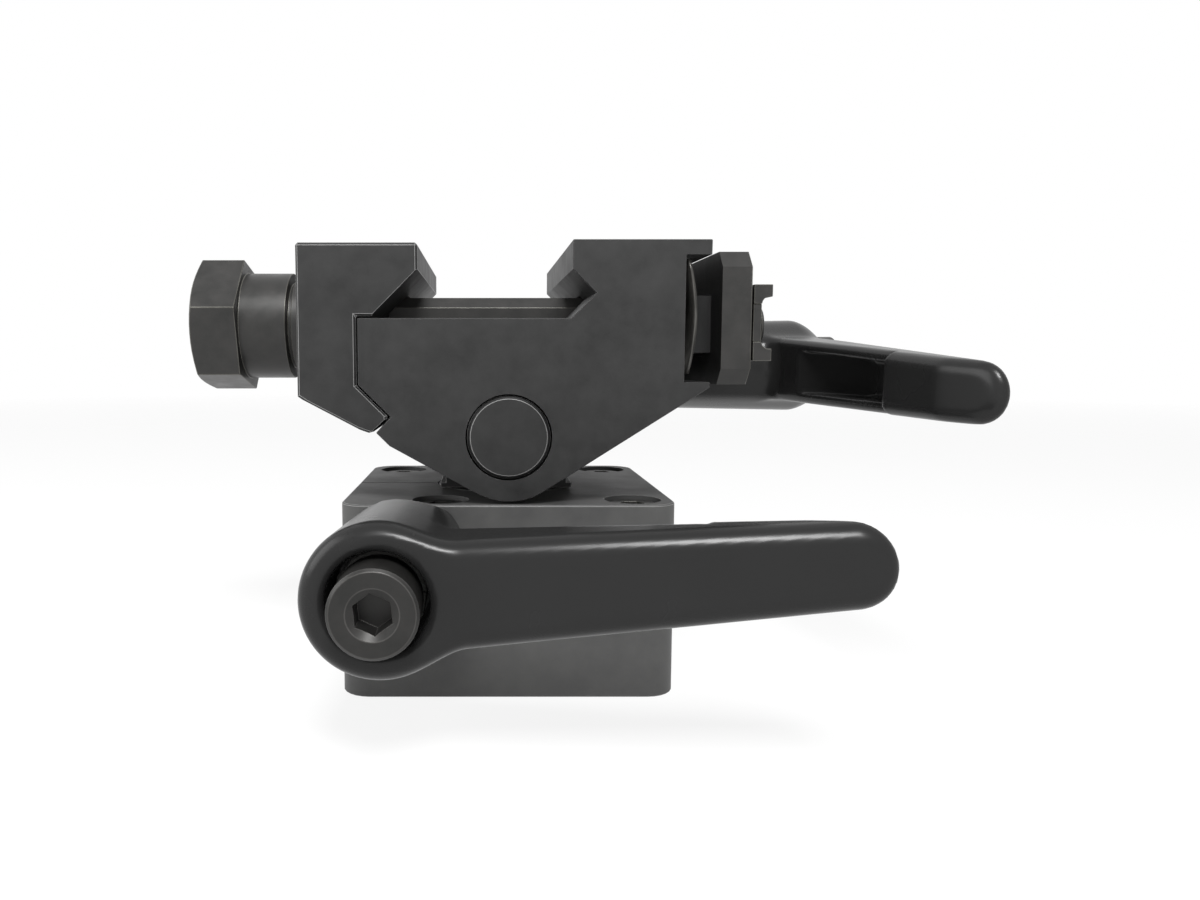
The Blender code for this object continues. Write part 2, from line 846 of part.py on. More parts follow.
def makeClampBody():
    body = extruded("clamp_body", clampOutline(), clampFrontY, clampBackY)
    bevel(body, edgeChamfer, 1, 75)
    bossX = bodyRightX + tiltBossHeight
    join(
        body,
        rod(
            "join_tilt_boss",
            (bodyRightX - over, tiltLeverY, tiltLeverZ),
            (bossX, tiltLeverY, tiltLeverZ),
            tiltBossRadius,
        ),
    )
    cut(
        body,
        extruded("cut_post_slot", postSlotOutline(), -lugHalfLength - gap, lugHalfLength + gap),
        rod(
            "cut_shaft_bore",
            (0, clampFrontY - over, tiltZ),
            (0, clampBackY + over, tiltZ),
            shaftRadius + gap,
        ),
        box(
            "cut_under_back",
            (-hubArcRadius * 2, lowerBodyBackY, baseHeight - over),
            (hubArcRadius * 2, clampBackY + over, lowerBodyTopZ),
        ),
        box(
            "cut_spring_pocket",
            (pocketFloorX, clampFrontY - over, bedZ - pocketHalfHeight),
            (bodyRightX + over, pocketBackY, bedZ + pocketHalfHeight),
        ),
        extruded(
            "cut_bolt_way",
            boltBarOutline(gap),
            bodyLeftX - over,
            bodyRightX + over,
            "YZ",
        ),
        box(
            "cut_tilt_slit",
            (-tiltSlitWidth / 2, tiltSlitFrontY, tiltZ),
            (tiltSlitWidth / 2, clampBackY + over, bedZ + over),
        ),
        rod(
            "cut_tilt_stud",
            (bossX + over, tiltLeverY, tiltLeverZ),
            (bossX - tiltStudReach - gap, tiltLeverY, tiltLeverZ),
            studRadius + holeGap,
            smallSides,
        ),
    )
    for number, y in enumerate(guidePinPlaces(), 1):
        cut(
            body,
            rod(
                f"cut_body_pin_{number}",
                (bodyLeftX - over, y, pinZ),
                (bodyLeftX + pinInBody, y, pinZ),
                pinRadius + gap,
                smallSides,
            ),
            rod(
                f"cut_spring_well_{number}",
                (bodyLeftX - over, y, pinZ),
                (bodyLeftX - gap + jawSpringLength, y, pinZ),
                jawSpringRadius + jawSpringWire + gap,
                smallSides,
            ),
        )
    return finish(body, blackAnodised, tiltAxis)


makeClampBody()


# Moving jaw, which slides along X and is pushed open by two springs on guide pins
jawAxis = addEmpty("jaw_slide", (jawLeftX, boltY, boltZ), tiltAxis)


def jawOutline():
    inner = bodyLeftX - gap
    ledgeZ = bedZ + jawLedgeClearance
    ledgeX = jawTipX - (notchTipZ - ledgeZ)
    diagonal = heelCornerX + heelCornerZ - gap * math.sqrt(2)
    heelX = heelCornerX - jawHeelGap
    return [
        (jawLeftX, jawTopZ),
        (jawLeftX, jawLowerLeftZ),
        (jawLeftX + jawCornerRun, jawLowerLeftZ - jawCornerDrop),
        (jawToeX - jawToeRun, jawToeZ + jawToeRise),
        (jawToeX, jawToeZ),
        (jawToeX + jawToeFlat, jawToeZ + jawToeLift),
        (heelX, heelCornerZ - jawToeLift),
        (heelX, diagonal - heelX),
        (inner, diagonal - inner),
        (inner, ledgeZ),
        (ledgeX, ledgeZ),
        (jawTipX, notchTipZ),
        (jawTipX, jawTopZ),
    ]


def makeMovingJaw():
    jaw = extruded("moving_jaw", jawOutline(), clampFrontY, clampBackY)
    bevel(jaw, edgeChamfer, 1, 75)
    cut(
        jaw,
        extruded("cut_jaw_bolt_way", boltBarOutline(gap), jawLeftX - over, jawTipX + over, "YZ"),
        rod(
            "cut_jaw_nut_seat",
            (jawLeftX - over, boltY, boltZ),
            (jawLeftX + nutNeckDepth + gap, boltY, boltZ),
            nutNeckRadius + gap,
        ),
    )
    for number, y in enumerate(guidePinPlaces(), 1):
        hole = rod(
            f"cut_jaw_pin_{number}",
            (bodyLeftX + over, y, pinZ),
            (bodyLeftX - gap - pinInJaw - gap, y, pinZ),
            pinRadius + gap,
            smallSides,
        )
        cut(jaw, hole)
    return finish(jaw, blackAnodised, jawAxis)


def makeGuidePin(number, y):
    start = bodyLeftX - gap - pinInJaw
    end = bodyLeftX + pinInBody - gap
    pin = rod(f"jaw_guide_pin_{number}", (start, y, pinZ), (end, y, pinZ), pinRadius, smallSides)
    return finish(pin, springSteel, tiltAxis)


def makeJawSpring(number, y):
    name = f"jaw_spring_{number}"
    spring = coil(name, jawSpringRadius, jawSpringWire, jawSpringTurns, 0, jawSpringLength, 8)
    place = Matrix.Translation((bodyLeftX - gap, y, pinZ)) @ Matrix.Rotation(math.pi / 2, 4, "Y")
    spring.data.transform(place)
    return finish(spring, springSteel, tiltAxis)


makeMovingJaw()
for pinNumber, pinY in enumerate(guidePinPlaces(), 1):
    makeGuidePin(pinNumber, pinY)
    makeJawSpring(pinNumber, pinY)


# Cross-bolt with its plate, keeper and leaf spring, and the nut at its other end
keeperLeftX = pressPlateX + pressPlateThickness + gap
keeperRightX = keeperLeftX + keeperWidth
keeperWebX = keeperLeftX + keeperWebInset
boltHeadX = keeperWebX + keeperWebThickness + gap
boltEndX = boltHeadX + boltHeadHeight
boltAxis = addEmpty("bolt_slide", (boltEndX, boltY, boltZ), tiltAxis)
nutAxis = addEmpty("nut_turn", (jawLeftX, boltY, boltZ), jawAxis)


def alongBolt(x):
    return (x, boltY, boltZ)


def makeCrossBolt():
    plateOuterX = pressPlateX + pressPlateThickness
    bolt = extruded("cross_bolt", boltBarOutline(), boltShoulderX, plateOuterX, "YZ")
    domeX = boltEndX - boltHeadDome
    join(
        bolt,
        rod("join_bolt_thread", alongBolt(boltShoulderX + over), alongBolt(boltThreadEndX), boltThreadRadius),
        rod(
            "join_bolt_neck",
            alongBolt(plateOuterX - over),
            alongBolt(keeperWebX - gap),
            boltNeckRadius,
            smallSides,
        ),
        rod(
            "join_bolt_groove",
            alongBolt(keeperWebX - gap - joinOverlap),
            alongBolt(boltHeadX + joinOverlap),
            boltGrooveRadius,
            smallSides,
        ),
        rod("join_bolt_head", alongBolt(boltHeadX), alongBolt(domeX), boltHeadRadius, smallSides),
        rod(
            "join_bolt_dome",
            alongBolt(domeX - joinOverlap),
            alongBolt(boltEndX),
            boltHeadRadius - joinOverlap,
            smallSides,
            boltHeadRadius - boltHeadDome,
        ),
    )
    return finish(bolt, blackSteel, boltAxis)


def makePressurePlate():
    low, high = pressPlateZ - pressPlateHalfHeight, pressPlateZ + pressPlateHalfHeight
    front, back = pressPlateFrontY, pressPlateBackY
    chamfer = pressPlateChamfer
    outline = [
        (front + chamfer, low),
        (back - chamfer, low),
        (back, low + chamfer),
        (back, high - chamfer),
        (back - chamfer, high),
        (front + chamfer, high),
        (front, high - chamfer),
        (front, low + chamfer),
    ]
    plate = extruded("pressure_plate", outline, pressPlateX, pressPlateX + pressPlateThickness, "YZ")
    crownX = springFootX + springRise + springThickness / 2
    long, tall = springPadHalfLength, springPadHalfHeight
    pads = box(
        "join_spring_pads",
        (crownX + gap, boltY - long, boltZ - tall),
        (pressPlateX + over, boltY + long, boltZ + tall),
    )
    join(plate, pads)
    way = extruded(
        "cut_plate_way",
        boltBarOutline(gap),
        crownX - over,
        pressPlateX + pressPlateThickness + over,
        "YZ",
    )
    return finish(cut(plate, way), blackSteel, boltAxis)


def keeperOutline():
    """The keeper seen from the front, in X and Z: two ribs joined by a thin web."""
    inner = keeperHalfHeight - keeperRibThickness
    hollow = inner + joinOverlap
    centreX = keeperWebX + keeperWebThickness + keeperFillet
    centreRise = inner - keeperFillet
    upper = arc((centreX, boltZ + centreRise), keeperFillet, math.pi / 2, math.pi, 3)
    lower = arc((centreX, boltZ - centreRise), keeperFillet, math.pi, 1.5 * math.pi, 3)
    return (
        [(keeperLeftX, boltZ - keeperHalfHeight), (keeperLeftX, boltZ - hollow)]
        + [(keeperWebX, boltZ - hollow), (keeperWebX, boltZ + hollow)]
        + [(keeperLeftX, boltZ + hollow), (keeperLeftX, boltZ + keeperHalfHeight)]
        + [(keeperRightX, boltZ + keeperHalfHeight), (keeperRightX, boltZ + inner)]
        + upper
        + lower
        + [(keeperRightX, boltZ - inner), (keeperRightX, boltZ - keeperHalfHeight)]
    )


def makeKeeper():
    front = pressPlateFrontY + keeperFrontInset
    back = pressPlateBackY - keeperBackInset
    keeper = extruded("bolt_keeper", keeperOutline(), front, back)
    low, high = keeperLeftX - over, keeperRightX + over
    slot = boltGrooveRadius + gap
    cut(
        keeper,
        rod("cut_keeper_neck", alongBolt(low), alongBolt(high), slot, smallSides),
        box(
            "cut_keeper_slot",
            (low, boltY, boltZ - slot + joinOverlap),
            (high, pressPlateBackY + over, boltZ + slot - joinOverlap),
        ),
    )
    return finish(keeper, blackSteel, boltAxis)


def makeLeafSpring():
    """A strip bowed away from the pocket's floor, with a hole for the bolt."""
    middle = []
    for i in range(springSteps + 1):
        share = -1 + 2 * i / springSteps
        rise = springRise * (1 - share * share)
        middle.append((springFootX + rise, pressPlateZ + springHalfHeight * share))
    half = springThickness / 2
    outline = [(x - half, z) for x, z in middle] + [(x + half, z) for x, z in reversed(middle)]
    spring = extruded("leaf_spring", outline, springFrontY, springBackY)
    hole = rod("cut_spring_hole", alongBolt(springFootX - over), alongBolt(pressPlateX), springHoleRadius)
    return finish(cut(spring, hole), springSteel, tiltAxis)


def makeClampNut():
    hexOutline = hexagon(nutAcrossFlats, math.pi - nutHexTurn)
    nut = extruded("clamp_nut", hexOutline, nutLeftX, nutHexRightX, "YZ")
    nut.data.transform(Matrix.Translation((0, boltY, boltZ)))
    corner = nutAcrossFlats / math.sqrt(3)
    easing = nutCornerRound
    blank = turned(
        "keep_nut_corners",
        [
            (0, nutHexRightX + easing),
            (corner + easing, nutHexRightX + easing),
            (corner + easing, nutLeftX + easing),
            (corner - 2 * easing, nutLeftX - joinOverlap),
            (0, nutLeftX - easing),
        ],
    )
    blank.data.transform(Matrix.Translation((0, boltY, boltZ)) @ Matrix.Rotation(math.pi / 2, 4, "Y"))
    boolean(nut, blank, "INTERSECT")
    join(
        nut,
        rod("join_nut_shoulder", alongBolt(nutHexRightX - over), alongBolt(nutShoulderX), nutShoulderRadius),
        rod(
            "join_nut_groove",
            alongBolt(nutShoulderX - over),
            alongBolt(jawLeftX),
            nutGrooveRadius,
        ),
        rod(
            "join_nut_neck",
            alongBolt(nutShoulderX + nutGrooveWidth),
            alongBolt(jawLeftX + nutNeckDepth),
            nutNeckRadius,
        ),
    )
    cut(nut, rod("cut_nut_bore", alongBolt(nutLeftX - over), alongBolt(jawTipX), boltThreadRadius + gap))
    return finish(nut, blackSteel, nutAxis)


makeCrossBolt()
makePressurePlate()
makeKeeper()
makeLeafSpring()
makeClampNut()


# Ratchet levers: each is made in its own frame and placed by its empties
def toothOutline(extra=0.0):
    """The ratchet teeth seen along the hub, a flat-topped tooth and a flat-bottomed space by turns."""
    points = []
    step = 2 * math.pi / toothCount
    rootStart = toothTopShare + toothFlankShare
    for i in range(toothCount):
        tooth = [
            (0, toothTopRadius),
            (toothTopShare, toothTopRadius),
            (rootStart, toothRootRadius),
            (1 - toothFlankShare, toothRootRadius),
        ]
        for share, radius in tooth:
            angle = step * (i + share)
            points.append(((radius + extra) * math.cos(angle), (radius + extra) * math.sin(angle)))
    return points


def armHalfWidth(x):
    """Half the arm's width at its top face: a taper, with a flare where it grows out of the hub."""
    taper = armRootHalfWidth + (armTipHalfWidth - armRootHalfWidth) * x / leverLength
    flare = max(0.0, 1 - x / armFlareLength)
    return taper + armFlare * flare * flare


def armSides(start, end, inset, steps):
    """One side of the arm in plan, from the hub out."""
    return [
        (start + (end - start) * i / steps, armHalfWidth(start + (end - start) * i / steps) - inset)
        for i in range(steps + 1)
    ]


def loft(name, lowPoints, highPoints):
    """A closed solid between two outlines that have the same number of points."""

    def build(bm):
        low = [bm.verts.new(point) for point in lowPoints]
        high = [bm.verts.new(point) for point in highPoints]
        bm.faces.new(low)
        bm.faces.new(high)
        for i in range(len(low)):
            j = (i + 1) % len(low)
            bm.faces.new((low[i], low[j], high[j], high[i]))

    return meshFrom(name, build)


def armPlan(widen):
    """The arm's outline in plan: two flaring sides and a round end."""
    endCentre = leverLength - armTipHalfWidth - widen
    right = armSides(0, endCentre, -widen, 10)
    tipRadius = right[-1][1]
    tip = arc((endCentre, 0), tipRadius, math.pi / 2, -math.pi / 2, 8)
    return right[:-1] + tip + [(x, -y) for x, y in reversed(right[:-1])]


def makeArm(name):
    top = [(x, y, hubHeight + armTopRise * x) for x, y in armPlan(0)]
    lowZ = armUnderZ - armTipDrop
    under = [(x, y, lowZ + armUnderRise * x) for x, y in armPlan(armDraft)]
    rampEnd = armRecessEnd + armTipDrop
    startZ = lowZ + armUnderRise * armTipStart
    run = leverLength + over - armTipStart
    relief = [
        (-over, lowZ - 2 * over),
        (rampEnd + over, lowZ - 2 * over),
        (rampEnd + over, lowZ + armUnderRise * rampEnd - over),
        (armRecessEnd, armUnderZ + armUnderRise * armRecessEnd),
        (-over, armUnderZ - armUnderRise * over),
    ]
    slope = [
        (armTipStart, startZ),
        (armTipStart, startZ - over),
        (armTipStart + run, startZ - over),
        (armTipStart + run, startZ + run * math.tan(armTipSlope)),
    ]
    reach = armRootHalfWidth + armFlare
    arm = cut(
        loft(name, under, top),
        extruded(name + "_relief", relief, -reach, reach),
        extruded(name + "_tip_slope", slope, -reach, reach),
    )
    return bevel(bakeModifiers(arm), armEdgeRound, 3, 55)


def makeArmRecess(name):
    """The hollow in the arm's underside, a wall's thickness inside the arm all round."""
    lowSide = armSides(armRecessStart, armRecessEnd, armRecessWall - armDraft, 5)
    highSide = armSides(armRecessStart + armRecessRamp, armRecessEnd, armRecessWall, 5)
    lowPlan = lowSide + [(x, -y) for x, y in reversed(lowSide)]
    highPlan = highSide + [(x, -y) for x, y in reversed(highSide)]
    low = [(x, y, armUnderZ + armUnderRise * x - over) for x, y in lowPlan]
    high = [(x, y, hubHeight + armTopRise * x - armRecessRoof) for x, y in highPlan]
    return loft(name, low, high)


def makeHandle(name, empty):
    rimStart = hubTopRadius - hubRimRound
    rim = arc((rimStart, hubHeight - hubRimRound), hubRimRound, math.pi / 2, 0, 4)
    profile = [(0, hubHeight)] + rim + [(hubRootRadius, hubSkirtZ), (0, hubSkirtZ)]
    hub = turned(name, profile)
    top = hubHeight + armTopRise * leverLength
    join(hub, makeArm(name + "_arm"))
    cut(
        hub,
        makeArmRecess(name + "_hollow"),
        rod(name + "_well", (0, 0, shelfTopZ), (0, 0, top), recessRadius),
        rod(name + "_eye", (0, 0, -over), (0, 0, shelfTopZ + over), leverScrewRadius + gap, smallSides),
        rod(name + "_socket", (0, 0, -over), (0, 0, shelfBottomZ - toothLength), socketRadius),
        extruded(name + "_teeth", toothOutline(gap), -over, shelfBottomZ, "XY"),
    )
    return finish(placeWithCutters(hub, empty), blackZinc, empty, True)


def placeWithCutters(obj, empty):
    """Parents the cutters of a piece that is made in an empty's frame to that empty."""
    for modifier in obj.modifiers:
        modifier.object.parent = empty
    return obj


def makeLeverCore(name, empty, reach):
    """The toothed steel core of a lever, in one piece with its clamping stud."""
    plain = toothRootRadius - joinOverlap
    seat = leverScrewRadius + gap
    toothBottom = insertHeight - toothLength
    profile = [
        (0, toothBottom + joinOverlap),
        (plain, toothBottom + joinOverlap),
        (plain, 0),
        (studRadius, 0),
        (studRadius, coreEdge - reach),
        (studRadius - coreEdge, -reach),
        (0, -reach),
    ]
    core = turned(name, profile, roundSides)
    join(core, extruded(name + "_teeth", toothOutline(), toothBottom, insertHeight, "XY"))
    hole = rod(
        name + "_hole",
        (0, 0, insertHeight - leverScrewDepth),
        (0, 0, insertHeight + over),
        seat,
        smallSides,
    )
    cut(core, hole)
    return finish(placeWithCutters(core, empty), blackSteel, empty, True)


def makeLeverScrew(name, empty):
    head = leverScrewHeadTop
    under = head - leverScrewHeadHeight
    end = insertHeight - leverScrewDepth + gap
    keyHalf = leverScrewKeyAcross / 2
    sink = head - (leverScrewSinkRadius - keyHalf) / math.tan(leverScrewSinkAngle)
    profile = [
        (0, sink),
        (keyHalf, sink),
        (leverScrewSinkRadius, head),
        (leverScrewHeadRadius - leverScrewEdge, head),
        (leverScrewHeadRadius, head - leverScrewEdge),
        (leverScrewHeadRadius, under),
        (leverScrewRadius, under),
        (leverScrewRadius, end),
        (0, end),
    ]
    screw = turned(name, profile, roundSides)
    keyOutline = hexagon(leverScrewKeyAcross, math.pi / 6)
    key = extruded(name + "_key", keyOutline, head - leverScrewKeyDepth, head + over, "XY")
    cut(screw, key)
    return finish(placeWithCutters(screw, empty), blackSteel, empty, True)


def makeLeverSpring(name, empty):
    under = leverScrewHeadTop - leverScrewHeadHeight
    spring = coil(name, leverSpringRadius, leverSpringWire, leverSpringTurns, shelfTopZ, under, 12)
    return finish(spring, springSteel, empty, True)


def makeLever(prefix, seat, axis, arm, parent, reach):
    """A whole lever: axis points out of its seat, arm along its handle."""
    axis, arm = Vector(axis).normalized(), Vector(arm).normalized()
    axes = (arm, axis.cross(arm), axis)
    place = Vector(seat) + axis * leverSeatGap
    turn = addEmpty(prefix + "_lever_turn", place, parent, axes)
    lift = addEmpty(prefix + "_lever_lift", place, turn, axes)
    makeHandle(prefix + "_lever_handle", lift)
    makeLeverCore(prefix + "_lever_core", turn, reach)
    makeLeverScrew(prefix + "_lever_screw", turn)
    makeLeverSpring(prefix + "_lever_spring", turn)


makeLever(
    "pan",
    (panLeverX, -baseHalf, panLeverZ),
    (0, -1, 0),
    (math.cos(panLeverArmAngle), 0, math.sin(panLeverArmAngle)),
    None,
    panStudReach,
)
makeLever(
    "tilt",
    (bodyRightX + tiltBossHeight, tiltLeverY, tiltLeverZ),
    (1, 0, 0),
    (0, -math.cos(tiltLeverArmAngle), -math.sin(tiltLeverArmAngle)),
    tiltAxis,
    tiltStudReach,
)
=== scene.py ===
import json
import math

import bmesh
import bpy
import numpy as np
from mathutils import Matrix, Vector


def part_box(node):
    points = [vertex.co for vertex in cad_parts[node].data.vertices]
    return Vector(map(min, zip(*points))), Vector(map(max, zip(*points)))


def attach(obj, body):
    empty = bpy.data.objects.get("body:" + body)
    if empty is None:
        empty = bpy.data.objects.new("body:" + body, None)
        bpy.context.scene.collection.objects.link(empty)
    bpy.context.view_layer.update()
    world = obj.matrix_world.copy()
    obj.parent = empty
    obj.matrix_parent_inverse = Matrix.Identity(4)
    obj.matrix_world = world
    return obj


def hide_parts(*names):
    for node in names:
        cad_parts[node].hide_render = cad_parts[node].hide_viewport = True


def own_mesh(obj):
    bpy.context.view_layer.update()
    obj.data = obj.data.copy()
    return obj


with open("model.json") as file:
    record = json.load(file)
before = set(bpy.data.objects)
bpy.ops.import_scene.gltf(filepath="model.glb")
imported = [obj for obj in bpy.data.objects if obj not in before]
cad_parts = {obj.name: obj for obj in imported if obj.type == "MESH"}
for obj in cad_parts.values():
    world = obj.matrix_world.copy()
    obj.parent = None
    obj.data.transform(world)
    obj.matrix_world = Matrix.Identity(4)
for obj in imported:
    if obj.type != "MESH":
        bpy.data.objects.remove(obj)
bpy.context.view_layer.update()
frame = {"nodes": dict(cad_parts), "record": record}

mm = 0.001
scene = bpy.context.scene
creaseAngle = math.radians(28)  # flat faces meet at more than this, the facets of a round one at less
flatAngle = math.radians(0.8)
weldReach = 0.002 * mm


# small helpers
def hexLinear(code):
    # sRGB hex as it looks on screen, turned to the linear values that the shader works in
    channels = [int(code[i:i + 2], 16) / 255 for i in (1, 3, 5)]
    return [c / 12.92 if c <= 0.04045 else ((c + 0.055) / 1.055) ** 2.4 for c in channels] + [1.0]


def addNode(tree, kind, settings=None, links=None):
    # one node: settings go to its properties or unlinked sockets, links are socket -> (node, output)
    node = tree.nodes.new(kind)
    for key, value in (settings or {}).items():
        if isinstance(key, str) and hasattr(node, key):
            setattr(node, key, value)
        else:
            node.inputs[key].default_value = value
    for key, (source, output) in (links or {}).items():
        tree.links.new(source.outputs[output], node.inputs[key])
    return node


def newMaterial(name):
    material = bpy.data.materials.new(name)
    material.use_nodes = True
    tree = material.node_tree
    tree.nodes.clear()
    return material, tree, addNode(tree, "ShaderNodeOutputMaterial")


def newObject(name, data):
    made = bpy.data.objects.new(name, data)
    scene.collection.objects.link(made)
    return made


print("camera")
# at the photograph's place: lens, shift and tilt were fitted to the picture
cameraSet = {
    "place": (-2.68 * mm, -114.6 * mm, 36.1 * mm), "downDegrees": 5.25,
    "lens": 28.15, "sensor": 36, "shiftX": 0.0974, "shiftY": -0.0067, "near": 0.005, "far": 20,
}
cameraData = bpy.data.cameras.new("photo_camera")
cameraData.lens = cameraSet["lens"]
cameraData.sensor_width = cameraSet["sensor"]
cameraData.shift_x = cameraSet["shiftX"]
cameraData.shift_y = cameraSet["shiftY"]
cameraData.clip_start = cameraSet["near"]
cameraData.clip_end = cameraSet["far"]
camera = newObject("photo_camera", cameraData)
camera.location = cameraSet["place"]
camera.rotation_euler = (math.radians(90 - cameraSet["downDegrees"]), 0, 0)
scene.camera = camera

print("materials")
bumpDepth = 0.02 * mm
cloudRange = (0.3, 0.7)  # nearly all values of a noise lie between these


def addClouds(tree, place, across, detail, roughness=0.5):
    # a noise of soft clouds, this many millimetres across
    return addNode(tree, "ShaderNodeTexNoise",
                   {"Scale": 1 / (across * mm), "Detail": detail, "Roughness": roughness},
                   {"Vector": (place, "Object")})


def addTones(tree, clouds, pair, span=(0.0, 1.0)):
    # the clouds' values over the span, from the first tone to the second
    ramp = addNode(tree, "ShaderNodeValToRGB", None, {"Fac": (clouds, "Fac")})
    for i in range(2):
        ramp.color_ramp.elements[i].position = span[i]
        ramp.color_ramp.elements[i].color = hexLinear(pair[i])
    return ramp


def addRange(tree, source, span, start, end):
    # values over the span, turned to run from start to end
    return addNode(tree, "ShaderNodeMapRange",
                   {"From Min": span[0], "From Max": span[1], "To Min": start, "To Max": end},
                   {"Value": source})


def addSurface(tree, output, settings, tones, rough, height, strength):
    # the shader, with the height's fine relief on it
    bump = addNode(tree, "ShaderNodeBump", {"Strength": strength, "Distance": bumpDepth},
                   {"Height": (height, "Fac")})
    shader = addNode(tree, "ShaderNodeBsdfPrincipled", settings,
                     {"Base Color": (tones, "Color"), "Roughness": (rough, "Result"), "Normal": (bump, "Normal")})
    tree.links.new(shader.outputs["BSDF"], output.inputs["Surface"])


def anodisedAluminium(name, pair, worn=0.0):
    # Bead-blasted aluminium with a black dyed oxide: an even, slightly mottled dark grey without sparkle,
    # soft in its highlights because the blasting leaves it rough under the dye.
    material, tree, output = newMaterial(name)
    place = addNode(tree, "ShaderNodeTexCoord")
    # dye takes a little unevenly over patches of 4 to 6 mm
    patches = addClouds(tree, place, across=5, detail=7.0, roughness=0.72)
    # blasting grit is about 0.1 mm; drawn at 0.25 mm so that it shows
    grit = addClouds(tree, place, across=0.25, detail=2.0)
    rough = addRange(tree, (patches, "Fac"), cloudRange, start=0.44 - worn, end=0.58 - worn)
    addSurface(tree, output, {"Metallic": 0.0, "Specular IOR Level": 0.38},
               addTones(tree, patches, pair, cloudRange), rough, grit, strength=0.12)
    return material


def coatedZinc(name, pair):
    # Die-cast zinc with a black satin powder coat: smooth and a little wavy, with long bright highlights.
    material, tree, output = newMaterial(name)
    place = addNode(tree, "ShaderNodeTexCoord")
    # orange peel of a powder coat is about 1 mm across
    peel = addClouds(tree, place, across=1.0, detail=1.0, roughness=0.4)
    # handling leaves faint duller patches of about 8 mm
    patches = addClouds(tree, place, across=8, detail=3.0, roughness=0.55)
    rough = addRange(tree, (patches, "Fac"), (0.1, 0.9), start=0.24, end=0.29)
    addSurface(tree, output, {"IOR": 1.5, "Specular IOR Level": 0.22},
               addTones(tree, patches, pair), rough, peel, strength=0.04)
    return material


def blackedSteel(name, pair, axis="X", metallic=0.55, spacing=0.35, dullness=0.34):
    # Turned or milled steel with a black oxide: warmer and shinier than the aluminium, with faint tool lines.
    material, tree, output = newMaterial(name)
    place = addNode(tree, "ShaderNodeTexCoord")
    # tool lines are about 0.1 mm apart; the wave texture repeats every 2 pi / 20 of its scaled place,
    # so these soft bands are 2 pi times the spacing apart (2.2 mm), which is what shows at this size
    lines = addNode(tree, "ShaderNodeTexWave",
                    {"wave_type": "BANDS", "bands_direction": axis, "Scale": 1 / (spacing * mm) / 20,
                     "Distortion": 1.5, "Detail": 2.0, "Detail Scale": 2.0}, {"Vector": (place, "Object")})
    # the oxide is blotched over 2 to 3 mm
    blotches = addClouds(tree, place, across=2.5, detail=5.0, roughness=0.65)
    rough = addRange(tree, (blotches, "Fac"), cloudRange, start=dullness, end=dullness + 0.12)
    addSurface(tree, output, {"Metallic": metallic}, addTones(tree, blotches, pair, cloudRange),
               rough, lines, strength=0.08)
    return material


def mouldedNylon(name, pair):
    # Moulded nylon: creamy, with a dull wax-like shine.
    material, tree, output = newMaterial(name)
    place = addNode(tree, "ShaderNodeTexCoord")
    colour = addTones(tree, addClouds(tree, place, across=3, detail=2.0), pair)
    shader = addNode(tree, "ShaderNodeBsdfPrincipled", {"Roughness": 0.45, "IOR": 1.53},
                     {"Base Color": (colour, "Color")})
    tree.links.new(shader.outputs["BSDF"], output.inputs["Surface"])
    return material


bodyBlack = anodisedAluminium("anodised_aluminium", ("#0f0f0f", "#222222"))
# the base is a lighter copy of the aluminium: partly a paler dye, partly painted light for the bounce from the
# white floor
basePalerDyeAndPaintedBounce = anodisedAluminium("anodised_aluminium_base_paler_and_painted_bounce", ("#3b3b3b", "#474746"))
# a darker, duller copy of the aluminium: painted shade on the pressure plate's spring side
innerPaintedShade = anodisedAluminium("anodised_aluminium_painted_shade", ("#0b0b0b", "#131313"), worn=-0.1)
# a lighter copy of the aluminium for the broken edges: painted highlight along them
bodyEdgeHighlight = anodisedAluminium("anodised_aluminium_edge_highlight", ("#6c6c6c", "#7c7c7b"), worn=0.12)
leverBlack = coatedZinc("powder_coated_zinc", ("#1a1a1a", "#1e1e1e"))
steelBlack = blackedSteel("black_oxide_steel", ("#2c2c2b", "#363534"))
screwBlack = blackedSteel("black_oxide_screw_steel", ("#242423", "#2c2b2a"))
# lighter copies of the steels for the broken edges: painted highlight along them
screwEdgeHighlight = blackedSteel("black_oxide_screw_edge_highlight", ("#353432", "#424140"))
steelEdgeHighlight = blackedSteel("black_oxide_steel_edge_highlight", ("#454440", "#5a5954"), metallic=0.6)
springGrey = blackedSteel("spring_steel", ("#434240", "#5c5b58"), axis="Y", metallic=0.8, spacing=0.6)
# the lever springs' steel is lighter than it would be: painted fill light that lifts the dark wells round the lever
# screws
springPaintedFill = blackedSteel("phosphated_steel_painted_fill", ("#323231", "#3e3e3c"), axis="Y", metallic=0.0, spacing=0.6,
                           dullness=0.6)
nylonCream = mouldedNylon("moulded_nylon", ("#d2cec0", "#e0dccf"))


# pieces
def weldedCopy(node, name):
    # the CAD solid's own faces as one joined mesh, with its flat faces made whole again
    mesh = frame["nodes"][node].data.copy()
    mesh.name = name
    if "custom_normal" in mesh.attributes:
        mesh.attributes.remove(mesh.attributes["custom_normal"])
    work = bmesh.new()
    work.from_mesh(mesh)
    bmesh.ops.remove_doubles(work, verts=work.verts, dist=weldReach)
    bmesh.ops.dissolve_limit(work, angle_limit=flatAngle, verts=work.verts, edges=work.edges)
    for face in work.faces:
        face.smooth = True
        face.material_index = 0
    work.to_mesh(mesh)
    work.free()
    return newObject(name, mesh)


def breakEdges(piece, width, method):
    # a hair's round on the sharp edges, in the look of the piece's second slot, a lighter copy that paints a
    # highlight along them
    easing = piece.modifiers.new("easing", "BEVEL")
    easing.width = width
    easing.segments = 2
    easing.limit_method = method
    easing.angle_limit = creaseAngle
    easing.harden_normals = True
    easing.material = 1


